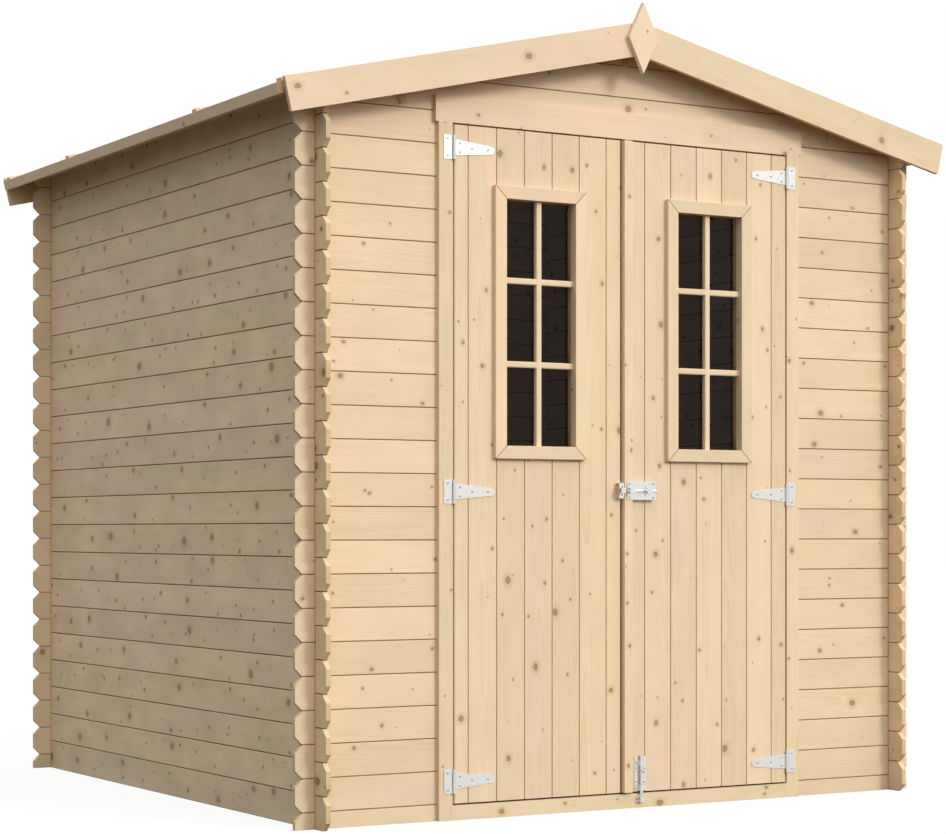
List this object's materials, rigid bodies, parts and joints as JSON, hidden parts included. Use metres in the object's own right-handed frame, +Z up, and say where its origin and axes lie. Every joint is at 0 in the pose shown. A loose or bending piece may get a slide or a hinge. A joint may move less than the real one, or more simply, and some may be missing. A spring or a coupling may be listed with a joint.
{
  "type": "wooden garden shed",
  "caption": "Wooden garden shed of tongue-and-groove boards crossed at the corners, with a low gable roof, glazed double doors and sliding bolts.",
  "frame": {"origin": "middle of the square plan, at ground level under the walls", "axes": "+Z up; the doors face -Y; +X to the right as seen by someone facing the doors"},
  "size_m": [2.2502, 2.154, 2.2776],
  "materials": {
    "pine": "planed, unpainted",
    "zinc_steel": "bright zinc plated",
    "window_glass": "clear, dark inside",
    "bitumen_felt": "sanded bitumen felt"
  },
  "bodies": {
    "shed": {"left_wall": "pine", "right_wall": "pine", "rear_wall": "pine", "front_wall_left": "pine", "front_wall_right": "pine", "front_gable": "pine", "left_door_jamb": "pine", "right_door_jamb": "pine", "door_head": "pine", "door_sill": "pine", "ridge_purlin": "pine", "left_purlin": "pine", "right_purlin": "pine", "left_roof_deck": "pine", "right_roof_deck": "pine", "roof_felt": "bitumen_felt", "left_roof_battens": "pine", "right_roof_battens": "pine", "left_eave_fascia": "pine", "right_eave_fascia": "pine", "front_left_barge_board": "pine", "front_right_barge_board": "pine", "rear_left_barge_board": "pine", "rear_right_barge_board": "pine", "finial": "pine", "left_hinge_plates": "zinc_steel", "right_hinge_plates": "zinc_steel", "foot_bolt_keeper": "zinc_steel"},
    "left_door": {"left_door_boards": "pine", "left_door_ledges": "pine", "left_window_outer_trim": "pine", "left_window_inner_trim": "pine", "left_window_glass": "window_glass", "left_hinge_straps": "zinc_steel", "latch_keeper": "zinc_steel"},
    "right_door": {"right_door_boards": "pine", "right_door_ledges": "pine", "right_window_outer_trim": "pine", "right_window_inner_trim": "pine", "right_window_glass": "window_glass", "right_hinge_straps": "zinc_steel", "meeting_strip": "pine", "latch_plate": "zinc_steel", "foot_bolt_plate": "zinc_steel"},
    "latch_bolt": {"latch_bolt": "zinc_steel"},
    "foot_bolt": {"foot_bolt": "zinc_steel"}
  },
  "joints": [
    {"name": "left_door_hinge", "type": "hinge", "parent": "shed", "child": "left_door", "pos_m": [-0.5695, -1.0035, 0.897], "axis": [0, 0, -1], "range_deg": [0, 160]},
    {"name": "right_door_hinge", "type": "hinge", "parent": "shed", "child": "right_door", "pos_m": [0.5695, -1.0035, 0.897], "axis": [0, 0, 1], "range_deg": [0, 160]},
    {"name": "latch_slide", "type": "slide", "parent": "right_door", "child": "latch_bolt", "axis": [-1, 0, 0], "range_m": [0, 0.022]},
    {"name": "foot_bolt_slide", "type": "slide", "parent": "right_door", "child": "foot_bolt", "axis": [0, 0, -1], "range_m": [0, 0.024]}
  ]
}
